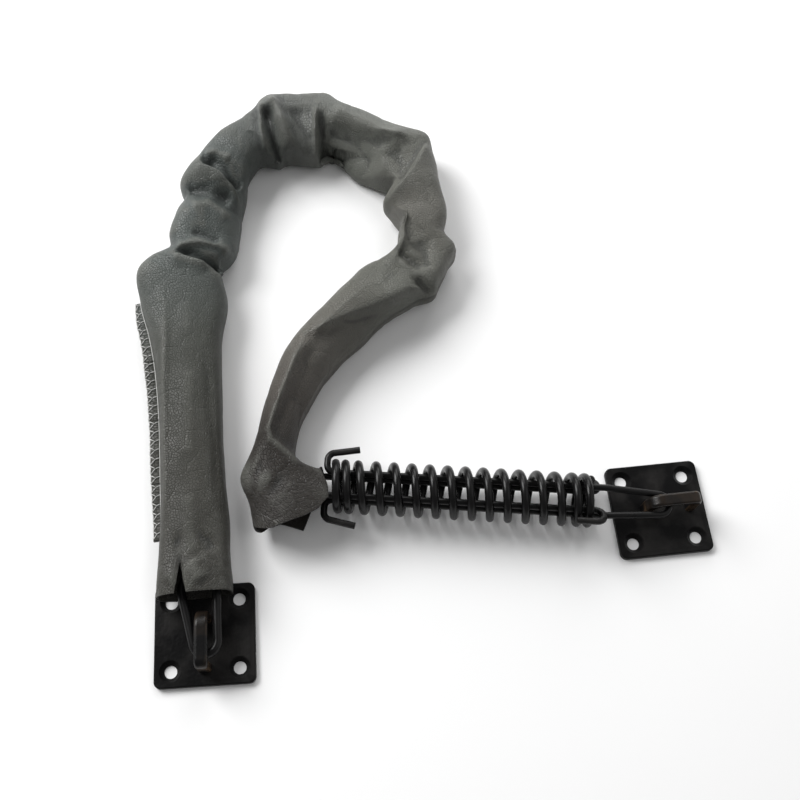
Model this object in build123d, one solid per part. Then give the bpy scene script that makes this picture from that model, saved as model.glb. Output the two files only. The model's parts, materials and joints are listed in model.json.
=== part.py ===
from build123d import *
from math import atan2, cos, floor, radians, sin, sqrt, tan
import os

# Storm door chain: two screw plates with eyes, a welded link chain in a vinyl sleeve,
# and a check spring held between two drawbars.
# Origin: centre of the jamb-side plate on its back face. X runs along the plate's rows,
# Y points towards the chain, Z away from the surface that both plates lie on. Millimetres.

# plates
PLATE_SIDE = 39.69          # 1-9/16 inch square
PLATE_THICKNESS = 2.5
PLATE_CORNER_R = 2.75
PLATE_EDGE_R = 0.6
HOLE_PITCH = 27.0
HOLE_D = 5.0
COUNTERSINK_D = 8.6
COUNTERSINK_ANGLE = 82

# eyes riveted through the plates
EYE_WIDTH = 5.2
EYE_LEG_THICKNESS = 3.8
EYE_STRAP_THICKNESS = 2.8
EYE_NEAR_OFFSET = 6.0       # plate centre to the leg that is pulled
EYE_FAR_OFFSET = 13.0       # plate centre to the other leg
EYE_NEAR_BEND_R = 7.0
EYE_FAR_BEND_R = 3.4
EYE_ROUNDING = 1.25
EYE_TENON_D = 3.2

# chain
WIRE_D = 3.6
LINK_INSIDE_LENGTH = 28.0
LINK_INSIDE_WIDTH = 5.8
JOINT_GAP = 0.3             # play between neighbours that hook into each other
# direction of each link on the floor, from the jamb-side plate to the spring, in degrees
LINK_HEADINGS = [92, 91, 90, 92, 88, 78, 72, 49, 7, -25, -53, -84, -118, -142, -133, -117, -102]

# pear-shaped end link
END_LINK_HEADING = 97
END_LINK_SMALL_R = 2.9      # inner radius behind the eye's pulled leg
END_LINK_LARGE_R = 5.0      # inner radius at the chain
END_LINK_PLAY = 0.2         # between its small end and the eye's other leg
END_LINK_LARGE_REACH = 10.1  # pulled leg to the centre of the large end
END_LINK_PULL = 140         # where the first link sits in the large end, in degrees

# spring and drawbars, along the spring's own axis from the last link's end
SPRING_D = 22.5
SPRING_WIRE_D = 3.4
SPRING_LENGTH = 110.3
SPRING_START = 24.7         # last link's end to the spring
SPRING_HEADING = -6.7
SPRING_MIDDLE_TURNS = 12
SPRING_END_PITCHES = (3.9, 5.2)  # the closer turns at each end, from the outside in
BAR_D = 2.8
BAR_PLAY = 0.5              # a drawbar's legs to the inside of the spring
BAR_BEND_R = 3.2
FLOOR_GAP = 0.05            # spring to the surface that the plates lie on
RIGHT_BAR_END_R = 4.42      # centre line of the U round the right eye
RIGHT_BAR_BEYOND = 22.7     # spring to the right eye's pulled leg
RIGHT_BAR_STRAIGHT = 5.0    # spring to where the legs start to close in
RIGHT_BAR_TAPER_R = 11.2    # bend where the legs start to close in
RIGHT_HOOK_RISE = 2.65      # the hooks' bends beyond the spring's outside
RIGHT_HOOK_TIP_RISE = 5.15
RIGHT_HOOK_LENGTH = 11.4    # along the spring
RIGHT_BAR_SLACK = 3.2       # the U's end hangs this far beyond the leg it pulls on
LEFT_BAR_TILT = 33          # the left drawbar's legs are turned this much out of level
LEFT_HOOK_LENGTH = 11.2
LEFT_BAR_LEVEL_X = 8.0      # from here to the chain its legs lie level
LEFT_BAR_TURN_X = 22.5      # from here to the spring they are turned
LEFT_BAR_EASE_R = 8.4       # bends between the level and the turned stretch
U_ROUNDING = 0.995          # arc of a U over the widest arc its two corners allow
RIGHT_PLATE_TURN = 2.6      # the right plate's own turn, in degrees

# sleeve
SLEEVE_WALL = 1.0
SLEEVE_LIFT = PLATE_THICKNESS + 0.7  # its underside where it lies over the plate
FLANGE_THICKNESS = 2.2
FLANGE_HEIGHT = 9.0         # seam's centre above the floor
# where along the chain (links from its start), then the vinyl's slack to the left and to
# the right of the links, height of its underside and slack above the links
SLEEVE_STATIONS = [
    (-0.13, 8.1, 8.9, SLEEVE_LIFT, 1.6),
    (0.10, 7.1, 8.7, SLEEVE_LIFT, 2.0),
    (0.40, 6.3, 8.5, SLEEVE_LIFT, 1.8),
    (0.80, 5.7, 8.4, 0.0, 1.6),
    (1.60, 5.7, 8.1, 0.0, 1.8),
    (2.50, 6.5, 7.3, 0.0, 1.6),
    (3.40, 7.7, 7.5, 0.0, 1.8),
    (4.00, 8.9, 8.3, 0.0, 2.0),
    (4.50, 12.9, 9.5, 0.0, 2.6),
    (4.90, 14.1, 5.9, 0.0, 4.6),
    (5.10, 11.1, 4.7, 0.0, 3.2),
    (5.32, 4.9, 8.9, 0.0, 1.6),
    (5.60, 6.3, 10.9, 0.0, 4.8),
    (5.95, 5.9, 10.1, 0.0, 5.6),
    (6.25, 7.9, 8.5, 0.0, 2.2),
    (6.60, 8.9, 7.7, 0.0, 5.8),
    (7.05, 6.3, 5.7, 0.0, 4.2),
    (7.40, 8.3, 2.9, 0.0, 6.2),
    (7.80, 6.7, 7.1, 0.0, 5.4),
    (8.10, 11.1, 13.1, 0.0, 1.8),
    (8.35, 15.1, 11.1, 0.0, 6.4),
    (8.65, 15.3, 12.9, 0.0, 4.2),
    (9.00, 11.7, 14.7, 0.0, 1.6),
    (9.30, 9.3, 7.7, 0.0, 5.6),
    (9.70, 7.9, 8.1, 0.0, 3.4),
    (10.15, 8.1, 8.7, 0.0, 4.6),
    (10.50, 12.9, 5.5, 0.0, 6.2),
    (10.85, 8.9, 3.9, 0.0, 3.8),
    (11.20, 5.9, 8.1, 0.0, 5.2),
    (11.60, 6.1, 6.3, 0.0, 2.8),
    (12.00, 4.7, 6.1, 0.0, 4.4),
    (12.35, 10.9, 1.1, 0.0, 2.4),
    (12.65, 12.1, -0.1, 0.0, 5.0),
    (13.05, 5.7, 6.9, 0.0, 4.6),
    (13.50, 3.9, 6.7, 0.0, 6.0),
    (14.20, 3.7, 5.7, 0.0, 5.6),
    (15.00, 3.1, 4.5, 0.0, 5.2),
    (15.60, 1.9, 3.5, 0.0, 4.8),
    (16.15, 0.9, 2.3, 0.0, 3.8),
    (16.60, 2.1, 3.1, 0.0, 2.8),
]
# the mouth at the spring turns towards the drawbar: place from the last link's end along
# and across the spring's axis, heading, then as above
SLEEVE_SPRING_MOUTH = [
    (1.0, 4.5, -78, 6.7, 6.7, 0.0, 3.0),
    (5.6, -2.4, -62, 11.1, 10.5, 0.0, 3.8),
    (7.2, -6.2, -49, 13.6, 12.1, 0.0, 3.8),
]
FLANGE_STATIONS = [(0.62, 3.2), (1.6, 4.4), (2.5, 4.8), (3.4, 5.0), (4.2, 4.4), (4.55, 2.2)]
FLANGE_OVERLAP = 2.0        # the flange's root inside the sleeve's side
NOTCH_DEPTH = 12.0          # notch in the sleeve's top edge, beside the first link
NOTCH_HALF_WIDTH = 7.0      # beyond the sleeve's edge
NOTCH_X = -3.2
NOTCH_MARGIN = 2.0          # the notch starts this far outside the sleeve

BAR_R = BAR_D / 2
SPRING_R = SPRING_D / 2
SPRING_END = SPRING_START + SPRING_LENGTH
SPRING_TURNS = SPRING_MIDDLE_TURNS + 2 * len(SPRING_END_PITCHES)
BAR_HALF_GAP = SPRING_R - SPRING_WIRE_D - BAR_PLAY - BAR_R
RIGHT_BAR_REACH = SPRING_END + RIGHT_BAR_BEYOND
WIRE_R = WIRE_D / 2
MECHANISM_Z = SPRING_R + FLOOR_GAP
STRAP_UNDERSIDE = MECHANISM_Z + WIRE_R + JOINT_GAP
EYE_TOP = STRAP_UNDERSIDE + EYE_STRAP_THICKNESS
LINK_HALF_WIDTH = LINK_INSIDE_WIDTH / 2 + WIRE_D
# the small end lies under the strap, just short of the eye's other leg
END_LINK_SMALL_REACH = (EYE_NEAR_OFFSET + EYE_FAR_OFFSET - EYE_LEG_THICKNESS / 2
                        - END_LINK_PLAY - END_LINK_SMALL_R - WIRE_D)
UPRIGHT_PITCH = LINK_INSIDE_LENGTH + WIRE_D
FLAT_PITCH = LINK_INSIDE_LENGTH - 2 * (WIRE_R + JOINT_GAP)


def sweep_round(path, diameter):
    """A round bar along a path."""
    start = Plane(path @ 0, z_dir=path % 0)
    return sweep(start * Circle(diameter / 2), path=path)


def step_along(point, heading, distance):
    return (point[0] + distance * cos(radians(heading)),
            point[1] + distance * sin(radians(heading)))


# plan of the chain

def chain_start():
    large_end = step_along((0, EYE_NEAR_OFFSET), END_LINK_HEADING, END_LINK_LARGE_REACH)
    seat = END_LINK_LARGE_R - WIRE_R - JOINT_GAP
    return step_along(large_end, END_LINK_PULL, seat)


def is_upright(index):
    return index % 2 == 0


def chain_pivots():
    pivots = [chain_start()]
    for index, heading in enumerate(LINK_HEADINGS):
        pitch = UPRIGHT_PITCH if is_upright(index) else FLAT_PITCH
        pivots.append(step_along(pivots[-1], heading, pitch))
    return pivots


PIVOTS = chain_pivots()


def path_heading(station):
    """The chain's direction at a station, turning evenly from the middle of a link to the next."""
    index = min(max(floor(station), 0), len(LINK_HEADINGS) - 1)
    share = station - index
    own = LINK_HEADINGS[index]
    if share < 0.5:
        other = LINK_HEADINGS[max(index - 1, 0)]
        return own + (other - own) * (0.5 - max(share, 0))
    other = LINK_HEADINGS[min(index + 1, len(LINK_HEADINGS) - 1)]
    return own + (other - own) * (share - 0.5)


def path_point(station):
    index = min(max(floor(station), 0), len(LINK_HEADINGS) - 1)
    a = PIVOTS[index]
    b = PIVOTS[index + 1]
    share = station - index
    return (a[0] + share * (b[0] - a[0]), a[1] + share * (b[1] - a[1]))


def pull_frame():
    """Placement of the spring and drawbars: the last link's end, turned to the spring's axis."""
    end = PIVOTS[-1]
    return Location((end[0], end[1], MECHANISM_Z), (0, 0, SPRING_HEADING))


# plates and eyes

def plate():
    body = extrude(RectangleRounded(PLATE_SIDE, PLATE_SIDE, PLATE_CORNER_R), PLATE_THICKNESS)
    body = fillet(body.faces().sort_by(Axis.Z)[-1].edges(), PLATE_EDGE_R)
    top = Plane.XY.offset(PLATE_THICKNESS)
    holes = GridLocations(HOLE_PITCH, HOLE_PITCH, 2, 2)
    body -= top * holes * CounterSinkHole(
        HOLE_D / 2, COUNTERSINK_D / 2, depth=PLATE_THICKNESS, counter_sink_angle=COUNTERSINK_ANGLE)
    for y in (EYE_NEAR_OFFSET, -EYE_FAR_OFFSET):
        body -= Pos(0, y, 0) * extrude(Circle(EYE_TENON_D / 2), PLATE_THICKNESS)
    return body


def eye():
    """A staple whose legs stand on the plate and whose tenons go through it."""
    near_face = EYE_NEAR_OFFSET + EYE_LEG_THICKNESS / 2
    far_face = EYE_FAR_OFFSET + EYE_LEG_THICKNESS / 2
    outer = make_face(FilletPolyline(
        (near_face, PLATE_THICKNESS), (near_face, EYE_TOP), (-far_face, EYE_TOP),
        (-far_face, PLATE_THICKNESS), radius=[EYE_NEAR_BEND_R, EYE_FAR_BEND_R])
        + Line((-far_face, PLATE_THICKNESS), (near_face, PLATE_THICKNESS)))
    inner_near = near_face - EYE_LEG_THICKNESS
    inner_far = far_face - EYE_LEG_THICKNESS
    inner = make_face(FilletPolyline(
        (inner_near, 0), (inner_near, STRAP_UNDERSIDE), (-inner_far, STRAP_UNDERSIDE),
        (-inner_far, 0), radius=[EYE_NEAR_BEND_R - EYE_STRAP_THICKNESS,
                                 EYE_FAR_BEND_R - EYE_STRAP_THICKNESS])
        + Line((-inner_far, 0), (inner_near, 0)))
    staple = extrude(Plane.YZ * (outer - inner), EYE_WIDTH / 2, both=True)
    side_faces = staple.faces().filter_by(Axis.X)
    long_edges = [edge for face in side_faces for edge in face.edges()
                  if edge.center().Z > PLATE_THICKNESS + 0.01]
    staple = fillet(long_edges, EYE_ROUNDING)
    for y in (EYE_NEAR_OFFSET, -EYE_FAR_OFFSET):
        staple += Pos(0, y, 0) * extrude(Circle(EYE_TENON_D / 2), PLATE_THICKNESS)
    return staple


def right_plate_place():
    """The right plate, its pulled leg on the spring's axis and its eye turned to the spring."""
    leg = pull_frame() * Pos(RIGHT_BAR_REACH, 0, 0)
    turn = 90 + RIGHT_PLATE_TURN
    return (Pos(leg.position.X, leg.position.Y, 0) * Rot(0, 0, turn)
            * Pos(0, -EYE_NEAR_OFFSET, 0))


# chain

def chain_link():
    """One link lying flat, centred, its length along X."""
    end_r = LINK_INSIDE_WIDTH / 2 + WIRE_R
    half = LINK_INSIDE_LENGTH / 2 - LINK_INSIDE_WIDTH / 2
    path = Wire([
        Line((-half, -end_r), (half, -end_r)).edge(),
        ThreePointArc((half, -end_r), (half + end_r, 0), (half, end_r)).edge(),
        Line((half, end_r), (-half, end_r)).edge(),
        ThreePointArc((-half, end_r), (-half - end_r, 0), (-half, -end_r)).edge(),
    ])
    section = Plane((-half, -end_r, 0), z_dir=(1, 0, 0)) * Circle(WIRE_R)
    return sweep(section, path=path)


def placed_link(index, blank):
    middle = path_point(index + 0.5)
    turn = 90 if is_upright(index) else 0
    return (Location((middle[0], middle[1], MECHANISM_Z), (0, 0, LINK_HEADINGS[index]))
            * Rot(turn, 0, 0) * blank)


def end_link():
    """The pear-shaped link: two unlike arcs joined by their outer tangents."""
    small = END_LINK_SMALL_R + WIRE_R
    large = END_LINK_LARGE_R + WIRE_R
    span = END_LINK_SMALL_REACH + END_LINK_LARGE_REACH
    lean = (large - small) / span
    rise = sqrt(1 - lean * lean)
    small_x, small_y = -END_LINK_SMALL_REACH - small * lean, small * rise
    large_x, large_y = END_LINK_LARGE_REACH - large * lean, large * rise
    path = Wire([
        Line((small_x, -small_y), (large_x, -large_y)).edge(),
        ThreePointArc((large_x, -large_y), (END_LINK_LARGE_REACH + large, 0),
                      (large_x, large_y)).edge(),
        Line((large_x, large_y), (small_x, small_y)).edge(),
        ThreePointArc((small_x, small_y), (-END_LINK_SMALL_REACH - small, 0),
                      (small_x, -small_y)).edge(),
    ])
    start_dir = (large_x - small_x, small_y - large_y, 0)
    section = Plane((small_x, -small_y, 0), z_dir=start_dir) * Circle(WIRE_R)
    body = sweep(section, path=path)
    return Location((0, EYE_NEAR_OFFSET, MECHANISM_Z), (0, 0, END_LINK_HEADING)) * body


# spring and drawbars

def spring_angles():
    """Angle and place along the axis of each half turn, closer at both ends."""
    length = SPRING_LENGTH - SPRING_WIRE_D
    middle = length - 2 * sum(SPRING_END_PITCHES)
    steps = []
    along = 0.0
    for half_turn in range(2 * SPRING_TURNS + 1):
        steps.append((180 * half_turn, along))
        from_end = min(half_turn, 2 * SPRING_TURNS - 1 - half_turn) // 2
        open_pitch = middle / SPRING_MIDDLE_TURNS
        pitch = SPRING_END_PITCHES[from_end] if from_end < len(SPRING_END_PITCHES) else open_pitch
        along += pitch / 2
    return steps


def spring_tangent(steps, index, radius):
    """Direction of the coil at a half turn, from the mean rise on both sides."""
    before = steps[max(index - 1, 0)]
    after = steps[min(index + 1, len(steps) - 1)]
    rise = (after[1] - before[1]) / radians(after[0] - before[0])
    angle = radians(steps[index][0])
    return Vector(rise, -radius * sin(angle), radius * cos(angle)).normalized()


def biarc(start, start_dir, end, end_dir):
    """Two arcs that leave one point and reach another in given directions."""
    across = end - start
    both = start_dir + end_dir
    a = both.dot(both) - 4
    b = -2 * across.dot(both)
    c = across.dot(across)
    reach = (-b - sqrt(b * b - 4 * a * c)) / (2 * a)
    middle = (start + start_dir * reach + end - end_dir * reach) * 0.5
    first = TangentArc(start, middle, tangent=start_dir).edge()
    second = TangentArc(middle, end, tangent=first % 1).edge()
    return [first, second]


def spring_path():
    steps = spring_angles()
    radius = (SPRING_D - SPRING_WIRE_D) / 2
    edges = []
    ends = []
    for index, (angle, along) in enumerate(steps):
        turn = radians(angle)
        place = Vector(SPRING_START + SPRING_WIRE_D / 2 + along, radius * cos(turn), radius * sin(turn))
        ends.append((place, spring_tangent(steps, index, radius)))
    for (place, direction), (next_place, next_direction) in zip(ends[:-1], ends[1:]):
        edges += biarc(place, direction, next_place, next_direction)
    return Wire(edges)


def own_gap(path, turns, diameter):
    """Least distance between two turns' surfaces."""
    per_turn = 40
    count = per_turn * turns
    points = [path @ (index / count) for index in range(count + 1)]
    return min((points[first] - points[second]).length for first in range(count + 1)
               for second in range(first + per_turn // 2, count + 1)) - diameter


def spring():
    path = spring_path()
    gap = own_gap(path, SPRING_TURNS, SPRING_WIRE_D)
    print(f"spring: least gap between its own turns {gap:.2f} mm")
    return pull_frame() * sweep_round(path, SPRING_WIRE_D)


def right_drawbar():
    """Level bar: a U round the right eye, two legs inside the spring, hooks over its left end."""
    hook_x = SPRING_START - JOINT_GAP - BAR_R
    end_x = RIGHT_BAR_REACH + RIGHT_BAR_SLACK
    nose_x = end_x + RIGHT_BAR_END_R
    taper_x = SPRING_END + RIGHT_BAR_STRAIGHT
    slope = (BAR_HALF_GAP - RIGHT_BAR_END_R) / (end_x - taper_x)
    nose_y = RIGHT_BAR_END_R - slope * RIGHT_BAR_END_R
    side = [(SPRING_START + RIGHT_HOOK_LENGTH, SPRING_R + RIGHT_HOOK_TIP_RISE),
            (hook_x, SPRING_R + RIGHT_HOOK_RISE), (hook_x, BAR_HALF_GAP),
            (taper_x, BAR_HALF_GAP), (nose_x, nose_y)]
    points = side + [(x, -y) for x, y in reversed(side)]
    nose_r = nose_y / tan(radians(90) / 2 - atan2(slope, 1) / 2)
    radii = [BAR_BEND_R, BAR_BEND_R, RIGHT_BAR_TAPER_R, nose_r * U_ROUNDING]
    path = FilletPolyline(*points, radius=radii + radii[::-1])
    return pull_frame() * sweep_round(path, BAR_D)


def left_drawbar():
    """A U round the last link, then two legs inside the spring, turned out of level."""
    hook_x = SPRING_END + JOINT_GAP + BAR_R
    hook_r = SPRING_R + JOINT_GAP + BAR_R
    end_r = WIRE_R + JOINT_GAP + BAR_R
    tilt = radians(LEFT_BAR_TILT)

    def turned(x, reach):
        return (x, reach * cos(tilt), -reach * sin(tilt))

    back = [turned(hook_x - LEFT_HOOK_LENGTH, hook_r), turned(hook_x, hook_r),
            turned(hook_x, BAR_HALF_GAP), turned(LEFT_BAR_TURN_X, BAR_HALF_GAP),
            (LEFT_BAR_LEVEL_X, end_r, 0), (-end_r, end_r, 0)]
    points = back + [(x, -y, -z) for x, y, z in reversed(back)]
    radii = [BAR_BEND_R, BAR_BEND_R, LEFT_BAR_EASE_R, LEFT_BAR_EASE_R, end_r * U_ROUNDING]
    path = FilletPolyline(*points, radius=radii + radii[::-1])
    return pull_frame() * sweep_round(path, BAR_D)


# sleeve

def oval(place, heading, left, right, low, high):
    """A closed section of four quarter ellipses, upright and square to the chain."""
    middle = (low + high) / 2
    rise = (high - low) / 2
    side = heading + 90
    plane = Plane((place[0], place[1], middle),
                  x_dir=(cos(radians(side)), sin(radians(side)), 0),
                  z_dir=(cos(radians(heading)), sin(radians(heading)), 0))
    quarters = [
        EllipticalCenterArc((0, 0), left, rise, start_angle=0, arc_size=90),
        EllipticalCenterArc((0, 0), right, rise, start_angle=90, arc_size=90),
        EllipticalCenterArc((0, 0), right, rise, start_angle=180, arc_size=90),
        EllipticalCenterArc((0, 0), left, rise, start_angle=270, arc_size=90),
    ]
    return plane * make_face(quarters)


def sleeve_sections(inset):
    """Sections of the sleeve's outside, or of its inside when inset by the wall."""
    sections = []
    for station, *slack in SLEEVE_STATIONS:
        sections.append((path_point(station), path_heading(station), *slack))
    for along, across, heading, *slack in SLEEVE_SPRING_MOUTH:
        place = (pull_frame() * Pos(along, across, 0)).position
        sections.append(((place.X, place.Y), heading, *slack))
    if inset:
        first = sections[0]
        last = sections[-1]
        sections[0] = (step_along(first[0], first[1], -inset),) + first[1:]
        sections[-1] = (step_along(last[0], last[1], inset),) + last[1:]
    return [oval(place, heading, LINK_HALF_WIDTH + left - inset, LINK_HALF_WIDTH + right - inset,
                 low + inset, MECHANISM_Z + LINK_HALF_WIDTH + above - inset)
            for place, heading, left, right, low, above in sections]


def seam_flange():
    """The two sewn edges of the sleeve, flat beside its straight run."""
    edges_in = []
    edges_out = []
    for station, reach in FLANGE_STATIONS:
        left = sleeve_reach(station)
        place = path_point(station)
        side = path_heading(station) + 90
        edges_in.append(step_along(place, side, left - FLANGE_OVERLAP))
        edges_out.append(step_along(place, side, left + reach))
    outline = Polyline(*edges_in, *reversed(edges_out), close=True)
    return Pos(0, 0, FLANGE_HEIGHT - FLANGE_THICKNESS / 2) * extrude(
        make_face(outline), FLANGE_THICKNESS)


def sleeve_reach(station):
    """The sleeve's reach to the left of the chain at a station."""
    for before, after in zip(SLEEVE_STATIONS[:-1], SLEEVE_STATIONS[1:]):
        if before[0] <= station <= after[0]:
            share = (station - before[0]) / (after[0] - before[0])
            return LINK_HALF_WIDTH + before[1] + share * (after[1] - before[1])
    return LINK_HALF_WIDTH + SLEEVE_STATIONS[-1][1]


def sleeve():
    outside = loft(sleeve_sections(0), ruled=True) + seam_flange()
    inside = loft(sleeve_sections(SLEEVE_WALL), ruled=True)
    tube = outside - inside
    start = path_point(SLEEVE_STATIONS[0][0])
    apex = (start[0] + NOTCH_X, start[1] + NOTCH_DEPTH)
    base = start[1] - NOTCH_MARGIN
    notch = make_face(Polyline(apex, (apex[0] + NOTCH_HALF_WIDTH, base),
                               (apex[0] - NOTCH_HALF_WIDTH, base), close=True))
    return tube - Pos(0, 0, MECHANISM_Z) * extrude(notch, MECHANISM_Z)


def write(name, shape):
    export_step(shape.solid(), f"parts/{name}.step")


os.makedirs("parts", exist_ok=True)
blank = chain_link()
for index in range(len(LINK_HEADINGS)):
    write(f"chain_link_{index + 1:02d}", placed_link(index, blank))
write("end_link", end_link())
write("left_plate", plate())
write("left_eye", eye())
write("right_plate", right_plate_place() * plate())
write("right_eye", right_plate_place() * eye())
write("right_drawbar", right_drawbar())
write("left_drawbar", left_drawbar())
write("spring", spring())
write("sleeve", sleeve())
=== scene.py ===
import json
import math

import bpy
import numpy as np
from mathutils import Matrix, Vector, noise


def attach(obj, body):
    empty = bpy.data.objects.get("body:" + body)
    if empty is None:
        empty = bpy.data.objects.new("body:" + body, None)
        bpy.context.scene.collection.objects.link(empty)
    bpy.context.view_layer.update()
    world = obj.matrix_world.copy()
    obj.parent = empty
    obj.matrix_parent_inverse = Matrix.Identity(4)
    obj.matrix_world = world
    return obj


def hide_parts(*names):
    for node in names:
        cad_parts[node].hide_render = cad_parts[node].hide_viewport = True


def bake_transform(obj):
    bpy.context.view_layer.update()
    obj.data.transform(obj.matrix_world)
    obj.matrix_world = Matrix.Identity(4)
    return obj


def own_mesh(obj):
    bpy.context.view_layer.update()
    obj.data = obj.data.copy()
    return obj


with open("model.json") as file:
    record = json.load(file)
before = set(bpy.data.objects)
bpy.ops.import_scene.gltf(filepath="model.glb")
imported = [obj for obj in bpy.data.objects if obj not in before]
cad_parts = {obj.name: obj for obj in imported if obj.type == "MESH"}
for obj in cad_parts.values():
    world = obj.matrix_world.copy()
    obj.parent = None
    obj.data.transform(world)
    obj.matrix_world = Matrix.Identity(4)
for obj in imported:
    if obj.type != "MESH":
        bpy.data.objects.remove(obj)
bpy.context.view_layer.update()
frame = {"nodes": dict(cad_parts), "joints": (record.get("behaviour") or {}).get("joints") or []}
mm = 0.001
scene = bpy.context.scene
joints = {joint["name"]: joint for joint in frame["joints"]}
print("frame loaded:", len(frame["nodes"]), "CAD nodes")

# Camera: one lens looking down from above the near edge, rolled a little (places in mm)

camera = {
    "place": (54.87, -74.48, 414.96),
    "target": (84.46, 97.08, 0.0),
    "roll": -6.18,
    "lens": 46.09,
    "sensor": 36.0,
    "clipStart": 0.01,       # metres
}


def addCamera():
    place = Vector(camera["place"]) * mm
    look = (Vector(camera["target"]) * mm - place).normalized()
    right = look.cross(Vector((0, 0, 1))).normalized()
    right = Matrix.Rotation(math.radians(camera["roll"]), 3, look) @ right
    up = right.cross(look)
    data = bpy.data.cameras.new("camera")
    data.lens = camera["lens"]
    data.sensor_width = camera["sensor"]
    data.clip_start = camera["clipStart"]
    lensBody = bpy.data.objects.new("camera", data)
    turn = Matrix((right, up, -look)).transposed().to_4x4()
    lensBody.matrix_world = Matrix.Translation(place) @ turn
    scene.collection.objects.link(lensBody)
    scene.camera = lensBody


# Floor and light: a pale sweep and three large soft lamps

studio = {
    "floorSize": 6.0,
    "floorColour": (0.95, 0.95, 0.95),
    "floorRoughness": 0.9,
    "skyColour": (1.0, 1.0, 1.0),
    "skyStrength": 0.22,
    "aim": (0.08, 0.11, 0.0),    # metres, where the lamps point
    "lamps": [
        # name, place in metres, size in metres, watts
        ("keyLamp", (-0.75, 0.75, 0.85), 0.8, 22.0),
        ("fillLamp", (0.95, 0.05, 0.9), 1.2, 2.6),
        ("rimLamp", (0.25, 1.15, 0.6), 0.8, 7.0),
    ],
}


def addStudio():
    bpy.ops.mesh.primitive_plane_add(size=studio["floorSize"])
    floor = bpy.context.object
    floor.name = "floor"
    paint = bpy.data.materials.new("paleFloor")
    paint.use_nodes = True
    shader = paint.node_tree.nodes["Principled BSDF"]
    shader.inputs["Base Color"].default_value = (*studio["floorColour"], 1)
    shader.inputs["Roughness"].default_value = studio["floorRoughness"]
    floor.data.materials.append(paint)
    world = bpy.data.worlds.new("studio")
    world.use_nodes = True
    sky = world.node_tree.nodes["Background"]
    sky.inputs["Color"].default_value = (*studio["skyColour"], 1)
    sky.inputs["Strength"].default_value = studio["skyStrength"]
    scene.world = world
    for name, place, size, watts in studio["lamps"]:
        data = bpy.data.lights.new(name, "AREA")
        data.size = size
        data.energy = watts
        lamp = bpy.data.objects.new(name, data)
        lamp.location = place
        aim = Vector(studio["aim"]) - Vector(place)
        lamp.rotation_euler = aim.to_track_quat("-Z", "Y").to_euler()
        scene.collection.objects.link(lamp)
    print("studio lit:", len(studio["lamps"]), "lamps")


# Finishes

def newPaint(name):
    paint = bpy.data.materials.new(name)
    paint.use_nodes = True
    tree = paint.node_tree
    return paint, tree.nodes, tree.links, tree.nodes["Principled BSDF"]


def addNode(nodes, kind, values=(), **settings):
    node = nodes.new(kind)
    for key, value in settings.items():
        setattr(node, key, value)
    for key, value in dict(values).items():
        node.inputs[key].default_value = value
    return node


def addNoise(nodes, links, place, scale, detail, roughness=0.5):
    values = {"Scale": scale, "Detail": detail, "Roughness": roughness}
    noiseNode = addNode(nodes, "ShaderNodeTexNoise", values)
    links.new(place, noiseNode.inputs["Vector"])
    return noiseNode


# the first colour is a fixed one, or comes from a socket
def mixColour(nodes, links, factor, first, second):
    mix = addNode(nodes, "ShaderNodeMix", data_type="RGBA")
    if isinstance(first, tuple):
        mix.inputs["A"].default_value = (*first, 1)
    else:
        links.new(first, mix.inputs["A"])
    mix.inputs["B"].default_value = (*second, 1)
    links.new(factor, mix.inputs["Factor"])
    return mix.outputs["Result"]


def mapRange(nodes, links, source, low, high, outLow, outHigh):
    names = ("From Min", "From Max", "To Min", "To Max")
    ranged = addNode(nodes, "ShaderNodeMapRange", zip(names, (low, high, outLow, outHigh)))
    links.new(source, ranged.inputs["Value"])
    return ranged.outputs["Result"]


# adds a bump of a height in metres on top of the one before it, if there is one
def addBump(nodes, links, height, distance, strength=1.0, below=None):
    bump = addNode(nodes, "ShaderNodeBump", {"Strength": strength, "Distance": distance})
    links.new(height, bump.inputs["Height"])
    if below is not None:
        links.new(below, bump.inputs["Normal"])
    return bump.outputs["Normal"]


coat = {
    "black": (0.0036, 0.0035, 0.0037),
    "worn": (0.0085, 0.0083, 0.0082),
    "pebbleScale": 900,      # fine orange peel
    "pebbleDetail": 3,
    "pebbleHeight": 0.00006,
    "patchScale": 70,
    "patchDetail": 4,
    "patchRange": (0.35, 0.75, 0.35),     # noise where the worn black starts and is full, its share
    "wearAndHighlightEdge": (0.5, 0.56),              # pointiness where the rubbed edge colour, wear and painted highlight, starts and is full
    "wearAndHighlightPatches": (0.42, 0.62),
    "shine": (0.38, 0.46),                # roughness in the darkest and lightest patches
    "shineRange": (0.3, 0.7),
    "specular": 0.10,
    # pebble height and scale, rubbed edge colour (edge wear, and on the eyes a painted gold-brown
    # highlight), its share, and gloss added to the plain coat
    "finishes": {
        "plateCoat": (2.2, 0.8, (0.10, 0.095, 0.09), 0.15, 0.0),
        "eyeCoat": (0.8, 1.0, (0.16, 0.10, 0.055), 0.5, 0.12),
        "wireCoat": (0.6, 1.0, (0.10, 0.095, 0.09), 0.15, 0.12),
        "springCoat": (0.7, 1.0, (0.10, 0.095, 0.09), 0.2, 0.14),
    },
}


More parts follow.
